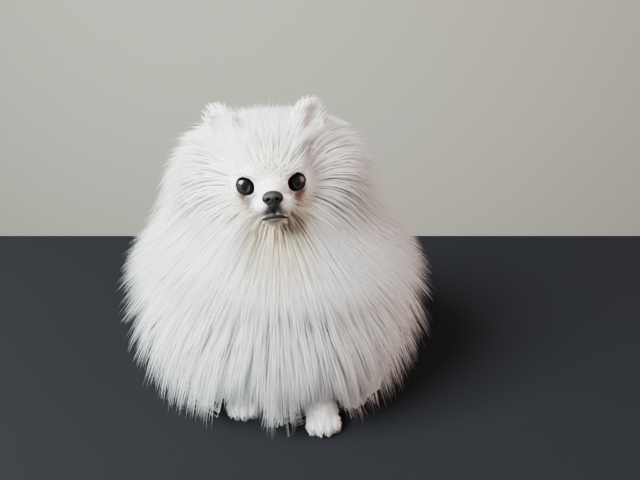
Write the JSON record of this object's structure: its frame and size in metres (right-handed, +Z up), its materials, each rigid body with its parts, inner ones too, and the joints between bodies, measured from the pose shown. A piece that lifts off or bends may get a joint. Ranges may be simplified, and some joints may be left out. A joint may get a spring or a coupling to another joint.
{
  "type": "pomeranian",
  "caption": "Life-size still model of a sitting small spitz dog with a long stand-off coat, pricked ears and a plumed tail laid over its back.",
  "frame": {"origin": "middle of the flat under the rump, on the floor", "axes": "+Z up, the dog faces -Y and its left side is +X"},
  "size_m": [0.2875, 0.2598, 0.2812],
  "materials": {
    "coat": "long straight white hair",
    "nose_leather": "dark pebbled nose leather",
    "eye": "wet dark brown eye",
    "claw": "dark horn"
  },
  "bodies": {
    "root": {"head": "coat", "ear_left": "coat", "ear_right": "coat", "neck": "coat", "torso": "coat", "thigh_left": "coat", "thigh_right": "coat", "hock_left": "coat", "hock_right": "coat", "hindpaw_left": "coat", "hindpaw_right": "coat", "foreleg_left": "coat", "foreleg_right": "coat", "forepaw_left": "coat", "forepaw_right": "coat", "tail": "coat", "nose": "nose_leather", "eye_left": "eye", "eye_right": "eye", "claw_forepaw_left_1": "claw", "claw_forepaw_left_2": "claw", "claw_forepaw_left_3": "claw", "claw_forepaw_left_4": "claw", "claw_forepaw_right_1": "claw", "claw_forepaw_right_2": "claw", "claw_forepaw_right_3": "claw", "claw_forepaw_right_4": "claw", "claw_hindpaw_left_1": "claw", "claw_hindpaw_left_2": "claw", "claw_hindpaw_left_3": "claw", "claw_hindpaw_left_4": "claw", "claw_hindpaw_right_1": "claw", "claw_hindpaw_right_2": "claw", "claw_hindpaw_right_3": "claw", "claw_hindpaw_right_4": "claw"}
  },
  "joints": []
}
